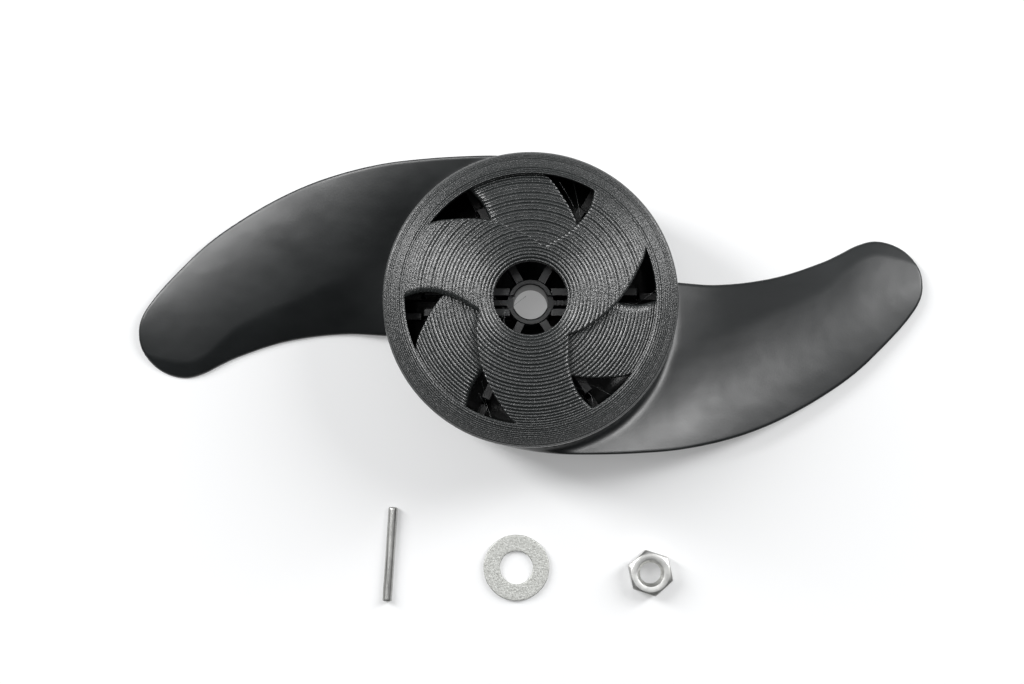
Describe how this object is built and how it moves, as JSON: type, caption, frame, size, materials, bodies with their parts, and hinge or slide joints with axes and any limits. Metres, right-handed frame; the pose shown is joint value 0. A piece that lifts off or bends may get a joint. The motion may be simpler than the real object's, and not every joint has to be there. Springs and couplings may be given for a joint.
{
  "type": "boat propeller",
  "caption": "Two-blade trolling-motor propeller with a hollow hub and domed vent cover, and its drive pin, washer and nut laid in front.",
  "frame": {"origin": "centre of the washer's seat at the aft end of the shaft bore", "axes": "+Z along the shaft towards the motor, so the vent cover is on top; +X from the hub towards the right-hand blade's tip; the loose hardware lies towards -Y"},
  "size_m": [0.2502, 0.1393, 0.0577],
  "materials": {
    "black_moulding": "moulded, satin gloss",
    "black_print": "3-D printed, fine concentric layer lines",
    "pin_steel": "drawn rod",
    "washer_zinc": "tumbled, matt zinc",
    "nut_steel": "machined and pressed"
  },
  "bodies": {
    "propeller": {"propeller_moulding": "black_moulding"},
    "cover": {"hub_cover": "black_print"},
    "pin": {"drive_pin": "pin_steel"},
    "washer": {"washer": "washer_zinc"},
    "nut": {"nut": "nut_steel"}
  },
  "joints": [
    {"name": "cover_pull", "type": "slide", "parent": "propeller", "child": "cover", "axis": [0, 0, 1], "range_m": [0, 0.03]},
    {"name": "pin_lift", "type": "slide", "parent": "propeller", "child": "pin", "axis": [0, 0, 1], "range_m": [0, 0.07]},
    {"name": "washer_lift", "type": "slide", "parent": "propeller", "child": "washer", "axis": [0, 0, 1], "range_m": [0, 0.07]},
    {"name": "nut_lift", "type": "slide", "parent": "propeller", "child": "nut", "axis": [0, 0, 1], "range_m": [0, 0.07]}
  ]
}
